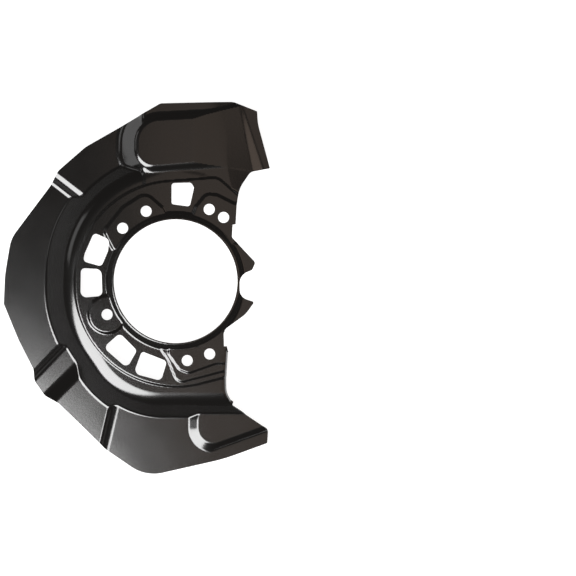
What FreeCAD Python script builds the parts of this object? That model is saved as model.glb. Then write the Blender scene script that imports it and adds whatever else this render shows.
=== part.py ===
import FreeCAD, Part
import math
import os

# Brake dust shield, left hand: one pressed steel sheet.
# Origin: on the axis of the hub bore, on the underside of the rim round it. +Z points away from the side
# that is bolted down, +Y to the top of the shield. All lengths in millimetres, angles in degrees.

# Sheet
SHEET = 1.2                  # thickness of the steel sheet
LIP_HEIGHT = 6.0             # depth of the turned-down lip beside the caliper opening

# Levels of the upper skin, all measured up from the two lowest outer panels
PROUD_PANEL_LEVEL = 6.0      # top, lower left and bottom panels, which stand proud
END_PAD_LEVEL = 12.0         # raised field at the lower end
SHOULDER_LEVEL = 22.4        # rounded shoulder of the dish, and the land that runs on from it at the top
WINDOW_LEVEL = 23.9          # ring that carries the ventilation windows
PAD_LAND_LEVEL = 24.8        # land round the lower bolting pad
SEAT_LEVEL = 25.7            # bolting pads
PLATEAU_LEVEL = 26.0         # broad raised field at the top
RIM_LEVEL = 29.2             # rim round the hub bore

# Steepness of the pressed walls, from the flat of the sheet
STEP_SLOPE = 43.0
SOFT_STEP_SLOPE = 25.0
END_PAD_SLOPE = 34.0
SHOULDER_SLOPE = 51.0
LAND_SLOPE = 58.0
WING_SLOPE = 15.0            # of the land, down towards the wing
WINDOW_SLOPE = 45.0
SEAT_SLOPE = 40.0
PLATEAU_SLOPE = 40.0
PLATEAU_END_SLOPE = 12.0     # of the end beside the wing
RIM_SLOPE = 42.0
WING_BEND_ANGLE = 20.0       # further bend of the wing, on top of the land's own fall

# Radii of the convex bends, on the upper skin
STEP_BEND = 9.0
SOFT_STEP_BEND = 12.0
END_PAD_BEND = 6.0
SHOULDER_BEND = 15.0
LAND_BEND = 6.0
WING_BEND = 14.0
PLATEAU_BEND = 4.0
GENTLE_BEND = 60.0           # of the two slopes that run out towards the wing
SEAT_BEND = 1.8

# Holes
BORE_RADIUS = 61.5
RIM_WIDTH = 2.0              # flat rim round the bore
NECK_WIDTH = 2.3             # narrowest width of the sheet between the bore and the caliper opening
BOLT_HOLE_RADIUS = 5.5
BOSS_CENTRE = (-68.3, -33.1)  # the bolt hole that stands on a round boss of its own
BOSS_RADIUS = 17.5
BOLT_HOLES = [BOSS_CENTRE, (-29.4, 69.7), (-52.8, 52.8), (33.4, 71.6), (47.7, 63.6), (11.5, -78.9),
              (33.8, -72.4)]
NECK = BORE_RADIUS + NECK_WIDTH

# Edge of the blank, as corners (x, y, corner radius), clockwise like every outline here. The corners
# beside the caliper opening are placed from the neck, so they follow the bore.
BLANK = [
    (-126.7, 95.0, 30), (-117.7, 110.8, 8), (-90.7, 134.3, 30), (-15.2, 177.3, 6), (57.3, 179.0, 15),
    (81.0, 169.7, 1), (81.7, 157.3, 60), (93.8, 112.8, 0.6), (74.4, 109.1, 8), (63.4, 92.8, 30),
    (NECK - 3.0, 76.3, 0), (NECK - 4.1, 56.8, 0.5), (NECK - 7.1, 56.3, 0), (NECK - 7.8, 43.8, 3),
    (NECK + 15.5, 18.8, 3), (NECK + 12.5, 11.3, 4), (NECK, 6.3, 12), (NECK, -15.7, 10),
    (NECK + 14.5, -20.7, 1.6), (NECK + 6.0, -32.7, 30), (NECK - 16.2, -48.7, 9), (NECK - 15.7, -64.7, 0),
    (NECK - 10.5, -64.7, 0), (51.1, -98.7, 60), (51.3, -110.7, 20),
    (58.8, -124.6, 0), (91.9, -148.2, 5), (91.1, -161.9, 1), (47.8, -177.7, 200), (-30.5, -195.4, 40),
    (-71.2, -167.7, 20), (-117.7, -122.5, 6), (-131.2, -114.7, 12), (-141.9, -99.7, 12),
    (-143.3, -88.2, 2), (-158.2, -58.7, 80), (-173.0, -22.7, 3), (-171.9, 6.3, 120), (-165.8, 42.9, 35)]

# Crest lines of the pressed fields
TOP_PANEL = [(-150, 124.1, 0), (-150, 230, 0), (160, 230, 0), (160, 50, 0), (-70, 62.3, 0)]
BOTTOM_PANEL = [(-80.6, -212.8, 0), (-53.6, -97.8, 0), (160, -97.8, 0), (160, -212.8, 0)]
RIB_UPPER_SIDE = [(-172.5, -129.1, 0), (-77.5, -30.4, 0), (20, -60, 0), (20, -250, 0), (-172.5, -250, 0)]
RIB_LOWER_SIDE = [(-63.5, -44.9, 0), (-193.5, -173.9, 0), (-250, -100, 0), (-150, 20, 0)]
SHOULDER = [(-112, 90, 108), (-2, 117, 60), (30, 109.4, 10), (48, 98, 10), (115, 53, 14), (115, -122.5, 14),
            (-34, -122.5, 88), (-112, -86, 103)]
LAND = [(-46, 60, 5), (-46, 230, 5), (160, 230, 5), (160, 60, 5)]
LAND_FALL = [(-200, 20, 0), (-200, 260, 0), (17.3, 260, 0), (51.4, 109.7, 110), (110, 58, 12), (110, 20, 0)]
PLATEAU = [(-39.5, 112.5, 17), (-39.5, 161, 24), (90, 167.9, 5), (90, 122.6, 5)]
PLATEAU_END = [(-90, 60, 0), (-90, 220, 0), (22, 220, 0), (22, 60, 0)]
WINDOW_RING = [(-99.7, 92.7, 99.5), (41.5, 102.8, 12), (120, 34.2, 10), (120, -77, 10),
               (6.6, -105.9, 88.5), (-99.7, -90.7, 99.5)]
UPPER_LEFT_PAD = [(-45, 20, 5), (-62, 33, 3), (-70.5, 50, 5), (-52, 73, 12), (-30, 87, 10), (-14, 73, 8),
                  (-4, 55, 5)]
UPPER_RIGHT_PAD = [(12, 52, 5), (21, 74, 6), (31, 86, 7), (41, 85, 7), (58, 76.5, 6), (90, 76, 5),
                   (90, 52, 5), (40, 30, 5)]
LOWER_PAD_LAND = [(2, -101, 8), (-7.6, -77, 8), (-14.8, -67.5, 4), (-10, -50, 5), (90, -50, 5), (90, -78, 5)]
LOWER_PAD = [(13, -91, 6), (4, -87.5, 5), (-7, -72, 4), (-5, -50, 5), (90, -50, 5), (90, -81.5, 5),
             (40, -81.5, 12)]
END_PAD = [(23, -168.5, 14), (23, -118, 10), (125, -104, 10), (125, -131.7, 10)]

# Ventilation windows
WINDOWS = [
    [(-4.2, 76.8, 2.5), (-4.2, 97.8, 3), (15.3, 98.3, 4), (18.2, 93.3, 3), (14, 74.4, 3)],
    [(-92.2, 19.8, 4), (-90.7, 27.5, 8), (-81.5, 48.5, 4), (-66.2, 41.5, 5), (-67.5, 30, 8), (-74, 14.8, 4)],
    [(-94.9, -16.5, 6), (-94.5, 13.2, 4), (-74, 12, 6), (-73, -14.5, 5)],
    [(-72, -66, 5), (-55.7, -51.6, 5), (-38.6, -68.9, 4), (-48.5, -86.5, 5)],
    [(-42, -91.8, 6), (-33.8, -69.7, 3), (-8.8, -79.6, 4), (-14.6, -99.2, 5)]]

# Outer face of the lip that is turned down beside the caliper opening; the rest lies clear of the blank
LIP_FACE = [(-400, -400, 0), (-400, 400, 0), (400, 400, 0), (400, -64, 0), (NECK - 12.5, -64, 0),
            (49.1, -98.7, 60), (49.3, -110.7, 20), (56.8, -123.2, 0), (120, -105, 0), (400, -105, 0),
            (400, -400, 0)]

# Working space round the sheet
ROOT_DEPTH = 2.0             # how far a pressed wall runs on below the surface that it rises from
REACH = 350.0                # sideways, clear of the blank
TOP_OF_SPACE = 70.0
BOTTOM_OF_SPACE = -60.0
WING_REACH = 90.0            # half the length and width of the space over the wing
WING_CLEARANCE = 3.0         # of that space above the land, at its near end

# Line across the upper wing along which it is bent down, and its distance past the top of the land's fall
WING_BEND_MIDDLE = (71.1, 144.9)
WING_BEND_HEADING = -77.2    # direction of the line
WING_BEND_PAST = 27.0
WING_BEND_LEVEL = SHOULDER_LEVEL - WING_BEND_PAST * math.tan(math.radians(WING_SLOPE))


def moved_corner(before, here, after, shift):
    """A corner of a clockwise outline after both its sides have moved outwards by shift."""
    ax, ay = here[0] - before[0], here[1] - before[1]
    bx, by = after[0] - here[0], after[1] - here[1]
    a_length, b_length = math.hypot(ax, ay), math.hypot(bx, by)
    ax, ay, bx, by = ax / a_length, ay / a_length, bx / b_length, by / b_length
    reach = shift / (1.0 + ax * bx + ay * by)
    radius = here[2]
    if radius > 0:
        radius += shift if ax * by - ay * bx < 0 else -shift
    return (here[0] - reach * (ay + by), here[1] + reach * (ax + bx), max(radius, 0.0))


def grown(corners, shift):
    """The same outline with every side moved outwards by shift, and its round corners to match."""
    count = len(corners)
    return [moved_corner(corners[i - 1], corners[i], corners[(i + 1) % count], shift) for i in range(count)]


def rounded(corners, level):
    """Closed wire of straight sides and tangent arcs through corners (x, y, radius) at a level."""
    count = len(corners)
    bends = []
    for i in range(count):
        corner = FreeCAD.Vector(corners[i][0], corners[i][1], level)
        back = (FreeCAD.Vector(corners[i - 1][0], corners[i - 1][1], level) - corner).normalize()
        ahead = corners[(i + 1) % count]
        ahead = (FreeCAD.Vector(ahead[0], ahead[1], level) - corner).normalize()
        radius = corners[i][2]
        half = back.getAngle(ahead) / 2.0
        reach = radius / math.tan(half)
        middle = corner + (back + ahead).normalize() * (radius / math.sin(half) - radius)
        bends.append((corner + back * reach, middle, corner + ahead * reach))
    edges = []
    for i in range(count):
        first, middle, last = bends[i]
        if corners[i][2] > 0:
            edges.append(Part.Arc(first, middle, last).toShape())
        following = bends[(i + 1) % count][0]
        if (following - last).Length > 1e-6:
            edges.append(Part.LineSegment(last, following).toShape())
    return Part.Wire(edges)


def prism(corners, low, high):
    """Upright solid with the outline of the corners."""
    return Part.Face(rounded(corners, low)).extrude(FreeCAD.Vector(0, 0, high - low))


def tier(corners, level, root, slope, bend, skin):
    """Pressed field: flat top at a level, drafted walls down past the root it rises from, round crest.
    skin is 0 for the upper face of the sheet and the sheet's thickness for the lower face."""
    angle = math.radians(slope)
    top_level = level - skin
    floor = root - skin - ROOT_DEPTH
    top = grown(corners, -skin * math.tan(angle / 2.0))
    foot = grown(top, (top_level - floor) / math.tan(angle))
    solid = Part.makeLoft([rounded(foot, floor), rounded(top, top_level)], True, True)
    crest = [edge for edge in solid.Edges if edge.BoundBox.ZMin > top_level - 1e-6]
    return solid.makeFillet(bend - skin, crest)


def disc_tier(x, y, radius, level, root, slope, bend, skin):
    """Pressed round field: a cone frustum with a round crest."""
    angle = math.radians(slope)
    top_level = level - skin
    floor = root - skin - ROOT_DEPTH
    top = radius - skin * math.tan(angle / 2.0)
    height = top_level - floor
    solid = Part.makeCone(top + height / math.tan(angle), top, height, FreeCAD.Vector(x, y, floor))
    crest = [edge for edge in solid.Edges if edge.BoundBox.ZMin > top_level - 1e-6]
    return solid.makeFillet(bend - skin, crest)


# Pressed fields: outline, level, root, slope, crest bend. Where two stand in one row, the field is what
# the two have in common, so that its sides can differ in steepness.
TOP_FIELDS = [
    [(TOP_PANEL, PROUD_PANEL_LEVEL, 0.0, STEP_SLOPE, STEP_BEND)],
    [(LAND, SHOULDER_LEVEL, 0.0, LAND_SLOPE, LAND_BEND),
     (LAND_FALL, SHOULDER_LEVEL, 0.0, WING_SLOPE, GENTLE_BEND)]]
FIELDS = [
    [(BOTTOM_PANEL, PROUD_PANEL_LEVEL, 0.0, STEP_SLOPE, STEP_BEND)],
    [(RIB_UPPER_SIDE, PROUD_PANEL_LEVEL, 0.0, STEP_SLOPE, STEP_BEND),
     (RIB_LOWER_SIDE, PROUD_PANEL_LEVEL, 0.0, SOFT_STEP_SLOPE, SOFT_STEP_BEND)],
    [(END_PAD, END_PAD_LEVEL, PROUD_PANEL_LEVEL, END_PAD_SLOPE, END_PAD_BEND)],
    [(SHOULDER, SHOULDER_LEVEL, 0.0, SHOULDER_SLOPE, SHOULDER_BEND)],
    [(PLATEAU, PLATEAU_LEVEL, SHOULDER_LEVEL, PLATEAU_SLOPE, PLATEAU_BEND),
     (PLATEAU_END, PLATEAU_LEVEL, SHOULDER_LEVEL, PLATEAU_END_SLOPE, GENTLE_BEND)],
    [(WINDOW_RING, WINDOW_LEVEL, SHOULDER_LEVEL, WINDOW_SLOPE, SEAT_BEND)],
    [(LOWER_PAD_LAND, PAD_LAND_LEVEL, WINDOW_LEVEL, SEAT_SLOPE, SEAT_BEND)],
    [(UPPER_LEFT_PAD, SEAT_LEVEL, WINDOW_LEVEL, SEAT_SLOPE, SEAT_BEND)],
    [(UPPER_RIGHT_PAD, SEAT_LEVEL, WINDOW_LEVEL, SEAT_SLOPE, SEAT_BEND)],
    [(LOWER_PAD, SEAT_LEVEL, WINDOW_LEVEL, SEAT_SLOPE, SEAT_BEND)]]


def field(rows, skin):
    """Pressed field: one tier, or what two tiers have in common."""
    solid = tier(*rows[0], skin)
    for row in rows[1:]:
        solid = solid.common(tier(*row, skin))
    return solid


def space_over_wing(skin):
    """Space above the wing: over the land on the near side of the bend line, falling away beyond it."""
    rise = WING_REACH * math.tan(math.radians(WING_SLOPE)) + WING_CLEARANCE
    fall = WING_REACH * math.tan(math.radians(WING_SLOPE + WING_BEND_ANGLE))
    section = [(-WING_REACH, WING_BEND_LEVEL + rise, 0), (-WING_REACH, TOP_OF_SPACE, 0),
               (WING_REACH, TOP_OF_SPACE, 0), (WING_REACH, WING_BEND_LEVEL - fall, 0),
               (0, WING_BEND_LEVEL, WING_BEND)]
    space = Part.Face(rounded(grown(section, skin), 0)).extrude(FreeCAD.Vector(0, 0, 2 * WING_REACH))
    space.translate(FreeCAD.Vector(0, 0, -WING_REACH))
    space.rotate(FreeCAD.Vector(0, 0, 0), FreeCAD.Vector(1, 0, 0), 90)
    space.rotate(FreeCAD.Vector(0, 0, 0), FreeCAD.Vector(0, 0, 1), WING_BEND_HEADING + 90)
    space.translate(FreeCAD.Vector(WING_BEND_MIDDLE[0], WING_BEND_MIDDLE[1], 0))
    return space


def form(skin):
    """Everything below one face of the sheet, as a solid: the upper face with skin 0, the lower face
    with skin equal to the sheet's thickness."""
    base = Part.makeBox(2 * REACH, 2 * REACH, -BOTTOM_OF_SPACE - skin,
                        FreeCAD.Vector(-REACH, -REACH, BOTTOM_OF_SPACE))
    base = base.fuse([field(rows, skin) for rows in TOP_FIELDS]).cut(space_over_wing(skin))
    raised = [field(rows, skin) for rows in FIELDS]
    raised.append(disc_tier(*BOSS_CENTRE, BOSS_RADIUS, SEAT_LEVEL, WINDOW_LEVEL, SEAT_SLOPE, SEAT_BEND, skin))
    raised.append(disc_tier(0, 0, BORE_RADIUS + RIM_WIDTH, RIM_LEVEL, WINDOW_LEVEL, RIM_SLOPE, SEAT_BEND, skin))
    return base.multiFuse(raised)


def dust_shield():
    """The sheet: what lies between its two faces, inside the edge of the blank, with its holes cut.
    The lip is the wall between the two faces at the side of the blank, down to its own depth."""
    upper = form(0.0)
    lower = form(SHEET).common(prism(grown(LIP_FACE, -SHEET), BOTTOM_OF_SPACE, TOP_OF_SPACE))
    under_lip = upper.translated(FreeCAD.Vector(0, 0, -LIP_HEIGHT))
    sheet = upper.common(prism(LIP_FACE, BOTTOM_OF_SPACE, TOP_OF_SPACE)).cut(lower).cut(under_lip)
    sheet = sheet.common(prism(BLANK, BOTTOM_OF_SPACE, TOP_OF_SPACE))
    cutters = [prism(window, BOTTOM_OF_SPACE, TOP_OF_SPACE) for window in WINDOWS]
    depth = TOP_OF_SPACE - BOTTOM_OF_SPACE
    for x, y, radius in [(*centre, BOLT_HOLE_RADIUS) for centre in BOLT_HOLES] + [(0, 0, BORE_RADIUS)]:
        cutters.append(Part.makeCylinder(radius, depth, FreeCAD.Vector(x, y, BOTTOM_OF_SPACE)))
    sheet = sheet.cut(cutters).removeSplitter()
    return sheet.translated(FreeCAD.Vector(0, 0, SHEET - RIM_LEVEL))


if __name__ == "__main__":
    os.makedirs("parts", exist_ok=True)
    shield = dust_shield()
    print("valid", shield.isValid(), "solids", len(shield.Solids), "faces", len(shield.Faces),
          "volume", round(shield.Volume), "box", shield.BoundBox)
    shield.exportStep("parts/dust_shield.step")
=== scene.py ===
import math

import bpy
import numpy as np
from mathutils import Matrix, Vector
from mathutils.geometry import delaunay_2d_cdt


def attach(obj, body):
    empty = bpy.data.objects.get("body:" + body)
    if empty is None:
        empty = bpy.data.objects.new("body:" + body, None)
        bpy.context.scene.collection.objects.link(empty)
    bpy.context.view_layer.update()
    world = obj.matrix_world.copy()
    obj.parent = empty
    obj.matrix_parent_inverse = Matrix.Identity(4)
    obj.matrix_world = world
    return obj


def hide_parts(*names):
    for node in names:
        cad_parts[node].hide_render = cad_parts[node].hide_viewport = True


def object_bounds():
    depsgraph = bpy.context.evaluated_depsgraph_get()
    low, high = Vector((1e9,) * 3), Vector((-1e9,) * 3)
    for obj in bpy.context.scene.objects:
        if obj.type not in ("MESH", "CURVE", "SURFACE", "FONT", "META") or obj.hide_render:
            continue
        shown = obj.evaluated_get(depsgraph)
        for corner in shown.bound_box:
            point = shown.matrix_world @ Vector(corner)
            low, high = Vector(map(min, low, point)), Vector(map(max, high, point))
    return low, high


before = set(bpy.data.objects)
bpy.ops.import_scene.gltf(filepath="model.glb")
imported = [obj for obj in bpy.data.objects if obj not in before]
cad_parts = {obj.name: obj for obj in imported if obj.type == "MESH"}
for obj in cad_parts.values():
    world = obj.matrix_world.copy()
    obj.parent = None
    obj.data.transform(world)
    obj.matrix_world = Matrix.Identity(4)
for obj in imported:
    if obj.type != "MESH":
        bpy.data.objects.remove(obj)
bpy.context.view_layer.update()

# Pressed shield
# One blank of 1.2 mm deep-drawing steel: cut to its outline, pierced, pressed into a dish with stepped
# outer panels, and dipped in black paint. It is bolted to the hub carrier by the pads round its bore.

MM = 0.001
SHEET = 1.2
RIM_LEVEL = 29.2
BORE_RADIUS = 61.5
BOLT_HOLE_RADIUS = 5.5
BOLT_HOLES = [(-68.3, -33.1), (-29.4, 69.7), (-52.8, 52.8), (33.4, 71.6), (47.7, 63.6), (11.5, -78.9),
              (33.8, -72.4)]
BLANK = [
    (-126.7, 95.0, 30), (-117.7, 110.8, 8), (-90.7, 134.3, 30), (-15.2, 177.3, 6), (57.3, 179.0, 15),
    (81.0, 169.7, 1), (81.7, 157.3, 60), (93.8, 112.8, 0.6), (74.4, 109.1, 8), (63.4, 92.8, 30),
    (60.8, 76.3, 0), (59.7, 56.8, 0.5), (56.7, 56.3, 0), (56.0, 43.8, 3), (79.3, 18.8, 3),
    (76.3, 11.3, 4), (63.8, 6.3, 12), (63.8, -15.7, 10), (78.3, -20.7, 1.6), (69.8, -32.7, 30),
    (47.6, -48.7, 9), (48.1, -64.7, 0), (51.2, -64.7, 0), (49.1, -98.7, 60), (49.3, -110.7, 20),
    (56.8, -124.6, 0), (91.9, -148.2, 5), (91.1, -161.9, 1), (47.8, -177.7, 200), (-30.5, -195.4, 40),
    (-71.2, -167.7, 20), (-117.7, -122.5, 6), (-131.2, -114.7, 12), (-141.9, -99.7, 12),
    (-143.3, -88.2, 2), (-158.2, -58.7, 80), (-173.0, -22.7, 3), (-171.9, 6.3, 120), (-165.8, 42.9, 35)]
WINDOWS = [
    [(-4.2, 76.8, 2.5), (-4.2, 97.8, 3), (15.3, 98.3, 4), (18.2, 93.3, 3), (14, 74.4, 3)],
    [(-92.2, 19.8, 4), (-90.7, 27.5, 8), (-81.5, 48.5, 4), (-66.2, 41.5, 5), (-67.5, 30, 8), (-74, 14.8, 4)],
    [(-94.9, -16.5, 6), (-94.5, 13.2, 4), (-74, 12, 6), (-73, -14.5, 5)],
    [(-72, -66, 5), (-55.7, -51.6, 5), (-38.6, -68.9, 4), (-48.5, -86.5, 5)],
    [(-42, -91.8, 6), (-33.8, -69.7, 3), (-8.8, -79.6, 4), (-14.6, -99.2, 5)]]
LIP_BEND = 2.2
LIP_HEIGHT = 6.0
LIP_END = 5.0
LIP_TURN = 0.996
LIP_FACE = [(51.2, -64.7, 0), (49.1, -98.7, 60), (49.3, -110.7, 20), (56.8, -124.6, 0), (0, -124.6, 0),
            (0, -64.7, 0)]

# Pressed fields, as the corners of their crest lines
TOP_PANEL = [(-148, 127, 0), (-148, 230, 0), (160, 230, 0), (160, 50, 0), (-68, 65.2, 0)]
BOTTOM_PANEL = [(-81.6, -212.8, 0), (-54.6, -97.8, 0), (160, -97.8, 0), (160, -212.8, 0)]
RIB_UPPER_SIDE = [(-172.5, -129.1, 0), (-77.5, -30.4, 0), (20, -60, 0), (20, -250, 0), (-172.5, -250, 0)]
RIB_LOWER_SIDE = [(-63.5, -44.9, 0), (-193.5, -173.9, 0), (-250, -100, 0), (-150, 20, 0)]
SHOULDER = [(-104, 82, 102), (-5, 117, 58), (30, 109.4, 10), (48, 98, 10), (115, 53, 14),
            (115, -118, 14), (-30, -118, 76), (-64, -102, 72), (-108, -38, 110)]
LAND = [(-33, 60, 5), (-33, 230, 5), (160, 230, 5), (160, 60, 5)]
LAND_FALL = [(-200, 20, 0), (-200, 260, 0), (17.3, 260, 0), (51.4, 109.7, 110), (110, 58, 12), (110, 20, 0)]
PLATEAU = [(-39.5, 112.5, 17), (-39.5, 161, 24), (90, 167.9, 5), (90, 122.6, 5)]
PLATEAU_END = [(-90, 60, 0), (-90, 220, 0), (22, 220, 0), (22, 60, 0)]
WINDOW_RING = [(-99.7, 92.7, 99.5), (41.5, 102.8, 12), (120, 34.2, 10), (120, -77, 10),
               (6.6, -105.9, 88.5), (-99.7, -90.7, 99.5)]
UPPER_LEFT_PAD = [(-45, 20, 5), (-62, 33, 3), (-70.5, 50, 5), (-52, 73, 12), (-30, 87, 10), (-14, 73, 8),
                  (-4, 55, 5)]
UPPER_RIGHT_PAD = [(12, 52, 5), (21, 74, 6), (31, 86, 7), (41, 85, 7), (58, 76.5, 6), (90, 76, 5),
                   (90, 52, 5), (40, 30, 5)]
LOWER_PAD_LAND = [(2, -101, 8), (-7.6, -77, 8), (-14.8, -67.5, 4), (-10, -50, 5), (90, -50, 5), (90, -78, 5)]
LOWER_PAD = [(13, -91, 6), (4, -87.5, 5), (-7, -72, 4), (-5, -50, 5), (90, -50, 5), (90, -81.5, 5),
             (40, -81.5, 12)]
END_PAD = [(21.5, -169, 16), (21.5, -128, 14), (125, -104, 10), (125, -131.7, 10)]
END_PAD_SIDE = [(-60, -201.1, 0), (-60, -100, 0), (125, -100, 0), (125, -134.4, 0)]
RIM = (0, 0, 63.5)
BOSS = (*BOLT_HOLES[0], 17.5)
SEAT_BLEND = 5
WING_BEND_MIDDLE = (71.1, 144.9)
WING_BEND_HEADING = -77.2
WING_LEVEL = 15.2
WING_SLOPE = 15
WING_BEND = (23.4, 14.0)

# Each field's level over the lowest panel, then its wall: the slope in degrees, the radius of the bend at
# the crest and the radius of the hollow at the foot
TOP_PANEL_FORM = (8.0, 44, 9, 6)
LAND_FORM = (22.4, 58, 6, 3)
BOTTOM_PANEL_FORM = (6.0, 43, 11, 4)
RIB_FORM = (6.0, 43, 9, 3)
END_PAD_FORM = (9.5, 22, 5, 5)
SHOULDER_FORM = (22.4, 42.5, 20, 4)
PLATEAU_FORM = (26.0, 46, 6, 10)
WINDOW_RING_FORM = (23.9, 45, 1.8, 1.5)
LOWER_PAD_LAND_FORM = (24.8, 40, 1.8, 2)
SEAT_FORM = (25.7, 40, 1.8, 2.4)
RIM_FORM = (RIM_LEVEL, 42, 1.8, 2.5)

# Slope and crest bend of a second side, where a field has one that differs from the rest of its wall
LAND_FALL_SIDE = (15, 60)
RIB_LOWER_WALL = (25, 12)
END_PAD_LOWER_WALL = (47, 4)
PLATEAU_END_SIDE = (12, 60)


def bends(corners):
    """Straight sides and round corners of a clockwise outline. Each corner gives the start and end of
    its arc, its centre, its radius, and +1 where the outline turns right or -1 where it turns left."""
    p = np.array([c[:2] for c in corners], float)
    radius = np.array([c[2] for c in corners], float)
    back = np.roll(p, 1, 0) - p
    ahead = np.roll(p, -1, 0) - p
    back /= np.linalg.norm(back, axis=1)[:, None]
    ahead /= np.linalg.norm(ahead, axis=1)[:, None]
    half = np.arccos(np.clip((back * ahead).sum(1), -1, 1)) / 2
    reach = (radius / np.tan(half))[:, None]
    middle = back + ahead
    centre = p + middle / np.linalg.norm(middle, axis=1)[:, None] * (radius / np.sin(half))[:, None]
    turn = np.sign(back[:, 0] * ahead[:, 1] - back[:, 1] * ahead[:, 0])
    return p + back * reach, p + ahead * reach, centre, radius, turn


def outside(x, y, corners):
    """Distance from an outline, negative inside it. It is the least distance, in size, to any side or
    arc, and its sign says on which side of that side or arc the point lies."""
    first, last, centre, radius, turn = bends(corners)
    best = np.full(x.shape, np.inf)
    for i in range(len(corners)):
        a, b = last[i], first[(i + 1) % len(corners)]
        length = max(np.hypot(*(b - a)), 1e-9)
        ux, uy = (b - a) / length
        along = np.clip((x - a[0]) * ux + (y - a[1]) * uy, 0, length)
        side = (y - a[1]) * ux - (x - a[0]) * uy
        away = np.hypot(x - a[0] - along * ux, y - a[1] - along * uy) * np.where(side < 0, -1, 1)
        best = np.where(np.abs(away) < np.abs(best), away, best)
        if radius[i] > 0:
            dx, dy = x - centre[i][0], y - centre[i][1]
            sx, sy = first[i] - centre[i]
            ex, ey = last[i] - centre[i]
            within = (turn[i] * (sy * dx - sx * dy) >= 0) & (turn[i] * (dy * ex - dx * ey) >= 0)
            away = turn[i] * (np.hypot(dx, dy) - radius[i])
            best = np.where(within & (np.abs(away) < np.abs(best)), away, best)
    return best


def fall(distance, slope, bend):
    """Height lost at a distance outside a crest line: none on the flat, then a round bend that is
    tangent to the flat and to the wall, then the straight wall."""
    angle = math.radians(slope)
    past = distance + bend * math.tan(angle / 2)
    bend_length = bend * math.sin(angle)
    round_part = np.clip(past, 0, bend_length)
    straight_part = np.maximum(past - bend_length, 0)
    return bend - np.sqrt(bend ** 2 - round_part ** 2) + straight_part * math.tan(angle)


def over(ground, raised, slope, foot):
    """The higher of two heights, with a round hollow of radius foot where the wall meets the ground:
    the two are blended by a parabola where they differ by less than the depth of the hollow."""
    angle = math.radians(slope)
    depth = foot * math.sin(angle) * math.tan(angle) / 2
    nearness = np.maximum(1 - np.abs(ground - raised) / depth, 0)
    return np.maximum(ground, raised) + nearness ** 2 * depth / 4


def joined(a, b, reach):
    """Distance from two outlines taken together, rounded where they meet."""
    nearness = np.maximum(1 - np.abs(a - b) / reach, 0)
    return np.minimum(a, b) - nearness ** 2 * reach / 4


def pressed(ground, distance, form):
    """The ground with a field raised out of it, given the distance from the field's crest line."""
    level, slope, bend, foot = form
    return over(ground, level - fall(distance, slope, bend), slope, foot)


def pressed_twice(ground, distance, form, other_distance, other_wall):
    """The same for a field with a second side of its own slope and bend: the lower of the two holds."""
    level, slope, bend, foot = form
    raised = np.minimum(level - fall(distance, slope, bend), level - fall(other_distance, *other_wall))
    return over(ground, raised, slope, foot)


def height(x, y):
    """Height of the upper skin over the lowest panel: each pressed field in turn stands over the one
    before it, as its level less what its wall has fallen at that distance from its crest line."""
    z = pressed(np.zeros_like(x), outside(x, y, TOP_PANEL), TOP_PANEL_FORM)
    z = pressed_twice(z, outside(x, y, LAND), LAND_FORM, outside(x, y, LAND_FALL), LAND_FALL_SIDE)
    heading = math.radians(WING_BEND_HEADING)
    past_bend = (x - WING_BEND_MIDDLE[0]) * -math.sin(heading) + (y - WING_BEND_MIDDLE[1]) * math.cos(heading)
    wing = WING_LEVEL - past_bend * math.tan(math.radians(WING_SLOPE)) - fall(past_bend, *WING_BEND)
    z = np.minimum(z, wing)
    z = pressed(z, outside(x, y, BOTTOM_PANEL), BOTTOM_PANEL_FORM)
    z = pressed_twice(z, outside(x, y, RIB_UPPER_SIDE), RIB_FORM,
                      outside(x, y, RIB_LOWER_SIDE), RIB_LOWER_WALL)
    z = pressed_twice(z, outside(x, y, END_PAD), END_PAD_FORM,
                      outside(x, y, END_PAD_SIDE), END_PAD_LOWER_WALL)
    z = pressed(z, outside(x, y, SHOULDER), SHOULDER_FORM)
    z = pressed_twice(z, outside(x, y, PLATEAU), PLATEAU_FORM, outside(x, y, PLATEAU_END), PLATEAU_END_SIDE)
    z = pressed(z, outside(x, y, WINDOW_RING), WINDOW_RING_FORM)
    z = pressed(z, outside(x, y, LOWER_PAD_LAND), LOWER_PAD_LAND_FORM)
    seats = np.hypot(x - BOSS[0], y - BOSS[1]) - BOSS[2]
    for pad in (UPPER_LEFT_PAD, UPPER_RIGHT_PAD, LOWER_PAD):
        seats = joined(seats, outside(x, y, pad), SEAT_BLEND)
    z = pressed(z, seats, SEAT_FORM)
    return pressed(z, np.hypot(x, y) - RIM[2], RIM_FORM)


def traced(corners, spacing, step=6.0):
    """Points along a closed outline: along each side at most a spacing apart, and round each corner at
    most a step in degrees apart."""
    first, last, centre, radius, _ = bends(corners)
    runs = []
    for i in range(len(corners)):
        if radius[i] > 0:
            begin = np.arctan2(*(first[i] - centre[i])[::-1])
            sweep = (np.arctan2(*(last[i] - centre[i])[::-1]) - begin + math.pi) % (2 * math.pi) - math.pi
            count = max(2, math.ceil(max(abs(sweep) / math.radians(step), radius[i] * abs(sweep) / spacing)))
            angle = begin + sweep * np.arange(count) / count
            runs.append(centre[i] + radius[i] * np.column_stack([np.cos(angle), np.sin(angle)]))
        a, b = last[i], first[(i + 1) % len(corners)]
        count = max(1, math.ceil(np.hypot(*(b - a)) / spacing))
        runs.append(a + (b - a) * (np.arange(count) / count)[:, None])
    return np.vstack(runs)


def circle(x, y, radius, count):
    """Points round a circle."""
    angle = -np.arange(count) / count * 2 * math.pi
    return np.column_stack([x + radius * np.cos(angle), y + radius * np.sin(angle)])


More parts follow.
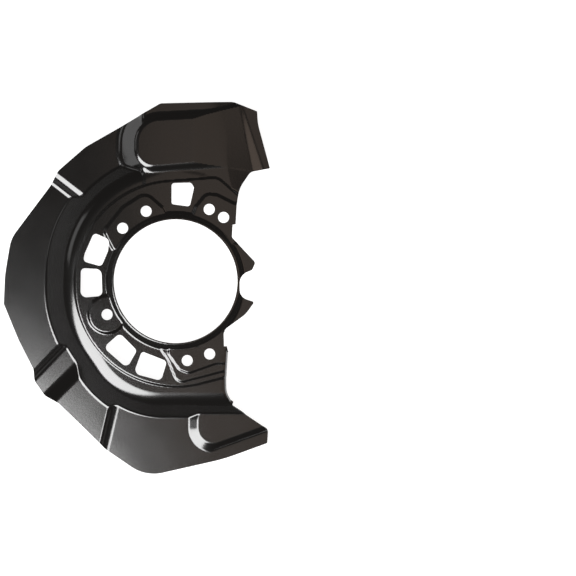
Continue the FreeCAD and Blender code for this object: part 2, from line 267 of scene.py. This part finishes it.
def enclosed(points, loop):
    """Which points a closed loop holds: those from which a line to the right crosses it an odd number
    of times."""
    held = np.zeros(len(points), bool)
    x, y = points.T
    for (ax, ay), (bx, by) in zip(loop, np.roll(loop, -1, 0)):
        if ay != by:
            held ^= ((ay > y) != (by > y)) & (x < ax + (y - ay) * (bx - ax) / (by - ay))
    return held


def on_sheet(points, loops):
    """Which points lie on the blank and in none of its holes."""
    return enclosed(points, loops[0]) & ~np.any([enclosed(points, loop) for loop in loops[1:]], axis=0)


# How near counts as on the lip's face, how far left the lip's strip is looked for, and the distance given
# where there is no lip
ON_EDGE = 0.01
LIP_LEFT_END = 20
NO_LIP = 99.0


def lip_distance(x, y):
    """Distance in from the outer face of the turned-down lip, and large wherever there is no lip."""
    away = -outside(x, y, LIP_FACE)
    beside = (y < LIP_FACE[0][1] + ON_EDGE) & (y > LIP_FACE[3][1] - ON_EDGE) & (x > LIP_LEFT_END)
    return np.where(beside, np.maximum(away, 0), NO_LIP)


# The blank as a net of triangles over its plan: a fine net where the sheet bends, a coarse one where it
# is flat, and every cut edge followed exactly. It bends where heights a reach apart bow by the least bow.
FINE = 1.0
COARSE = 4
EDGE_SPACING = 1.2
BOLT_HOLE_POINTS = 60
BORE_POINTS = 320
BOW_REACH = 1.6 * FINE
LEAST_BOW = 0.004
EDGE_CLEARANCE = 0.6 * FINE
LIP_CLEARANCE = 0.5
LIP_ROWS = (0.1, 0.35, 0.75, 1.3, 2.0)
loops = [traced(outline, EDGE_SPACING) for outline in (BLANK, *WINDOWS)]
loops += [circle(x, y, BOLT_HOLE_RADIUS, BOLT_HOLE_POINTS) for x, y in BOLT_HOLES]
loops.append(circle(0, 0, BORE_RADIUS, BORE_POINTS))
columns = np.arange(-176, 98, FINE)
rows = np.arange(-200, 182, FINE * math.sqrt(3) / 2)
i, j = np.meshgrid(np.arange(len(columns)), np.arange(len(rows)))
net = np.column_stack([(columns[i] + (j % 2) * FINE / 2).ravel(), rows[j].ravel()])
coarse = ((i % COARSE == 0) & (j % COARSE == 0)).ravel()
bow = np.zeros(len(net))
for turn in np.radians([0, 60, 120]):
    dx, dy = BOW_REACH * np.array([math.cos(turn), math.sin(turn)])
    bow += np.abs(height(net[:, 0] + dx, net[:, 1] + dy) + height(net[:, 0] - dx, net[:, 1] - dy)
                  - 2 * height(*net.T))
net = net[(coarse | (bow > LEAST_BOW)) & on_sheet(net, loops)]
rims = np.vstack([np.vstack([loop, (loop + np.roll(loop, -1, 0)) / 2]) for loop in loops])
far = np.full(len(net), np.inf)
for x, y in rims:
    np.minimum(far, np.hypot(net[:, 0] - x, net[:, 1] - y), out=far)
net = net[(far > EDGE_CLEARANCE) & (lip_distance(*net.T) > LIP_BEND + LIP_CLEARANCE)]
lip_run = loops[0][lip_distance(*loops[0].T) < ON_EDGE]
lip_ahead = np.gradient(lip_run, axis=0)
lip_inward = np.column_stack([lip_ahead[:, 1], -lip_ahead[:, 0]]) / np.linalg.norm(lip_ahead, axis=1)[:, None]
net = np.vstack([net] + [lip_run[1:-1] + lip_inward[1:-1] * depth for depth in LIP_ROWS])

starts = np.cumsum([0] + [len(loop) for loop in loops])
edges = [(int(s + k), int(s + (k + 1) % len(loop)))
         for s, loop in zip(starts, loops) for k in range(len(loop))]
plan = np.vstack(loops + [net])
flat, _, faces, *_ = delaunay_2d_cdt(plan.tolist(), edges, [], 0, 1e-5)
plan = np.array(flat)
faces = np.array(faces)
faces = faces[on_sheet(plan[faces].mean(1), loops)]
a, b, c = plan[faces].transpose(1, 0, 2)
turned = (b - a)[:, 0] * (c - a)[:, 1] - (b - a)[:, 1] * (c - a)[:, 0] < 0
faces[turned] = faces[turned][:, ::-1]


def lip_share(x, y):
    """How far the lip is turned down: all the way, but for a short run-out at its two ends."""
    top, bottom = LIP_FACE[0][1], LIP_FACE[3][1]
    return np.clip(np.minimum(top - y, y - bottom) / LIP_END, 0, 1)


def skin_height(x, y):
    """Height of the upper skin in the row frame, with the round bend over which the lip turns down. The
    bend stops just short of upright, at the angle whose sine is LIP_TURN."""
    into_bend = LIP_BEND * LIP_TURN * lip_share(x, y) * np.clip(1 - lip_distance(x, y) / LIP_BEND, 0, 1)
    return height(x, y) - (LIP_BEND - np.sqrt(LIP_BEND ** 2 - into_bend ** 2)) + SHEET - RIM_LEVEL


x, y = plan.T
PROBE = 0.04
slope_x = (skin_height(x + PROBE, y) - skin_height(x - PROBE, y)) / (2 * PROBE)
slope_y = (skin_height(x, y + PROBE) - skin_height(x, y - PROBE)) / (2 * PROBE)
normal = np.column_stack([-slope_x, -slope_y, np.ones(len(plan))])
normal /= np.linalg.norm(normal, axis=1)[:, None]
upper = np.column_stack([plan, skin_height(x, y)])
lower = upper - SHEET * normal

count = len(plan)
sides = np.vstack([faces[:, [0, 1]], faces[:, [1, 2]], faces[:, [2, 0]]])
keys = sides[:, 0] * count + sides[:, 1]
rim = sides[~np.isin(keys, sides[:, 1] * count + sides[:, 0])]
on_lip = (lip_distance(x, y) < ON_EDGE) & (lip_share(x, y) > 0)
turned_down = on_lip[rim].all(1)
lip, rim = rim[turned_down], rim[~turned_down]
walls = np.column_stack([rim[:, 0], rim[:, 0] + count, rim[:, 1] + count, rim[:, 1]])

# The lip below its bend: the two skins run on along their own slope, and a narrow edge closes them.
outward = np.column_stack([normal[:, :2] * normal[:, 2:], -(normal[:, :2] ** 2).sum(1)])[on_lip]
outward *= ((LIP_HEIGHT - LIP_BEND) * lip_share(x, y)[on_lip] / np.linalg.norm(outward, axis=1))[:, None]
points = np.vstack([upper, lower, upper[on_lip] + outward, lower[on_lip] + outward])
end = np.cumsum(on_lip) - 1 + 2 * count
a, b, held = lip[:, 0], lip[:, 1], on_lip.sum()
outer = np.column_stack([a, end[a], end[b], b])
inner = np.column_stack([end[a] + held, a + count, b + count, end[b] + held])
under = np.column_stack([end[a], end[a] + held, end[b] + held, end[b]])
first, last = np.setdiff1d(a, b), np.setdiff1d(b, a)
under = np.vstack([under, np.column_stack([first, first + count, end[first] + held, end[first]]),
                   np.column_stack([last + count, last, end[last], end[last] + held])])

quads = np.vstack([walls, under, outer, inner])
corners = np.concatenate([faces.ravel(), faces[:, ::-1].ravel() + count, quads.ravel()])
sizes = np.concatenate([np.full(2 * len(faces), 3), np.full(len(quads), 4)])
mesh = bpy.data.meshes.new("pressed_shield")
mesh.vertices.add(len(points))
mesh.vertices.foreach_set("co", (points * MM).ravel())
mesh.loops.add(len(corners))
mesh.loops.foreach_set("vertex_index", corners)
mesh.polygons.add(len(sizes))
mesh.polygons.foreach_set("loop_start", np.concatenate([[0], np.cumsum(sizes)[:-1]]))
mesh.update(calc_edges=True)
cut_edges = np.vstack([walls, under])
one_diagonal = points[cut_edges[:, 2]] - points[cut_edges[:, 0]]
other_diagonal = points[cut_edges[:, 3]] - points[cut_edges[:, 1]]
facing = np.cross(one_diagonal, other_diagonal)
facing /= np.linalg.norm(facing, axis=1)[:, None]
along_lip = np.column_stack([a, a, b, b]).ravel()
shading = np.vstack([normal[faces.ravel()], -normal[faces[:, ::-1].ravel()], np.repeat(facing, 4, axis=0),
                     normal[along_lip], -normal[along_lip]])
mesh.normals_split_custom_set(shading.tolist())
mesh.validate()
shield = bpy.data.objects.new("pressed_shield", mesh)
bpy.context.collection.objects.link(shield)
print("shield triangles", 2 * len(faces) + 2 * len(quads), "points", len(points))


def linear(hex_colour):
    """Linear colour of an sRGB hex value."""
    channels = [int(hex_colour[k:k + 2], 16) / 255 for k in (0, 2, 4)]
    return [c / 12.92 if c <= 0.04045 else ((c + 0.055) / 1.055) ** 2.4 for c in channels] + [1.0]


def add(tree, kind, settings=None, links=None, **values):
    """A node with its settings, input values and links."""
    node = tree.nodes.new(kind)
    for name, value in (settings or {}).items():
        setattr(node, name, value)
    for name, value in values.items():
        node.inputs[name.replace("_", " ")].default_value = value
    for name, source in (links or {}).items():
        tree.links.new(source, node.inputs[name])
    return node


# Black dip coat: an epoxy paint that the whole pressing is dipped in and baked, so it is one even film
# with a semi-gloss skin, a faint orange peel, and slightly duller patches where it ran off.
paint = bpy.data.materials.new("black_dip_coat")
paint.use_nodes = True
tree = paint.node_tree
tree.nodes.clear()
place = add(tree, "ShaderNodeTexCoord").outputs["Object"]
PATCH_SIZE = 25 * MM
PEEL_SIZE = 2.2 * MM
PEEL_DEPTH = 0.2 * MM
cloud = add(tree, "ShaderNodeTexNoise", links={"Vector": place}, Scale=1 / PATCH_SIZE, Detail=3.0)
dullness = add(tree, "ShaderNodeMapRange", links={"Value": cloud.outputs["Fac"]}, From_Min=0.3, From_Max=0.7,
               To_Min=0.135, To_Max=0.155)
peel = add(tree, "ShaderNodeTexNoise", links={"Vector": place}, Scale=1 / PEEL_SIZE, Detail=1.0)
skin = add(tree, "ShaderNodeBump", links={"Height": peel.outputs["Fac"]}, Strength=0.06,
           Distance=PEEL_DEPTH)
coat = add(tree, "ShaderNodeBsdfPrincipled", Base_Color=linear("040404"), IOR=1.52,
           links={"Roughness": dullness.outputs["Result"], "Normal": skin.outputs["Normal"]})
add(tree, "ShaderNodeOutputMaterial", links={"Surface": coat.outputs["BSDF"]})
mesh.materials.append(paint)

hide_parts("dust_shield")
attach(shield, "root")

# Studio
# The shield lies on a plain paper that glows, so that it shows white and takes next to no shadow. A
# bright oval softbox on its lower left draws the bright line along the shoulder of the dish, a small one on
# its left draws thin lines there, and two faint warm ones, overhead and on the right, tone the flats.

VIEW_WIDTH = 0.576
VIEW_CENTRE = (0.1118, -0.0067)
PANEL_HEIGHT = -0.02
FLOOR_WIDTH = 8.0
FLOOR_GAP = 0.0002
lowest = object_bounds()[0].z
bpy.ops.mesh.primitive_plane_add(size=FLOOR_WIDTH, location=(0, 0, lowest - FLOOR_GAP))
floor = bpy.context.object
floor.name = "studio_floor"
white = bpy.data.materials.new("white_studio_paper")
white.use_nodes = True
white.node_tree.nodes.clear()
paper = add(white.node_tree, "ShaderNodeBsdfPrincipled", Base_Color=linear("808080"), Roughness=0.9,
            Emission_Color=linear("ffffff"), Emission_Strength=0.95)
add(white.node_tree, "ShaderNodeOutputMaterial", links={"Surface": paper.outputs["BSDF"]})
floor.data.materials.append(white)


def softbox(name, azimuth, tilt, distance, width, length, radiance, colour, shape="RECTANGLE"):
    """Lamp that faces the origin from an azimuth (from +X) and a tilt from the vertical. Its width lies
    across the azimuth and its length along it."""
    a, t = math.radians(azimuth), math.radians(tilt)
    away = Vector((math.cos(a) * math.sin(t), math.sin(a) * math.sin(t), math.cos(t)))
    across = Vector((-math.sin(a), math.cos(a), 0))
    lamp = bpy.data.lights.new(name, "AREA")
    lamp.shape = shape
    lamp.size, lamp.size_y = width, length
    lamp.energy = radiance * math.pi * width * length * (math.pi / 4 if shape == "ELLIPSE" else 1)
    lamp.color = linear(colour)[:3]
    box = bpy.data.objects.new(name, lamp)
    turn = Matrix((across, away.cross(across), away)).transposed().to_4x4()
    box.matrix_world = Matrix.Translation(away * distance) @ turn
    bpy.context.collection.objects.link(box)


softbox("key_softbox", 222, 40, 1.3, 0.9, 1.47, 18, "ffffff", "ELLIPSE")
softbox("left_softbox", 160, 60, 1.5, 0.6, 0.5, 1.4, "ffffff")
softbox("overhead_softbox", 5, 13.5, 1.3, 0.6, 0.8, 0.65, "ffe4d0")
softbox("right_softbox", 13, 48, 1.5, 1.3, 0.64, 1.4, "ffe4d0")

world = bpy.data.worlds.new("studio_air")
world.use_nodes = True
world.node_tree.nodes["Background"].inputs["Color"].default_value = linear("e6dcd4")
world.node_tree.nodes["Background"].inputs["Strength"].default_value = 0.2
scene = bpy.context.scene
scene.world = world
scene.view_settings.view_transform = "Standard"

LENS = 240
SENSOR = 36
lens = bpy.data.cameras.new("camera")
lens.lens, lens.sensor_width = LENS, SENSOR
camera = bpy.data.objects.new("camera", lens)
camera.location = (*VIEW_CENTRE, VIEW_WIDTH * LENS / SENSOR + PANEL_HEIGHT)
lens.clip_end = 50
bpy.context.collection.objects.link(camera)
scene.camera = camera
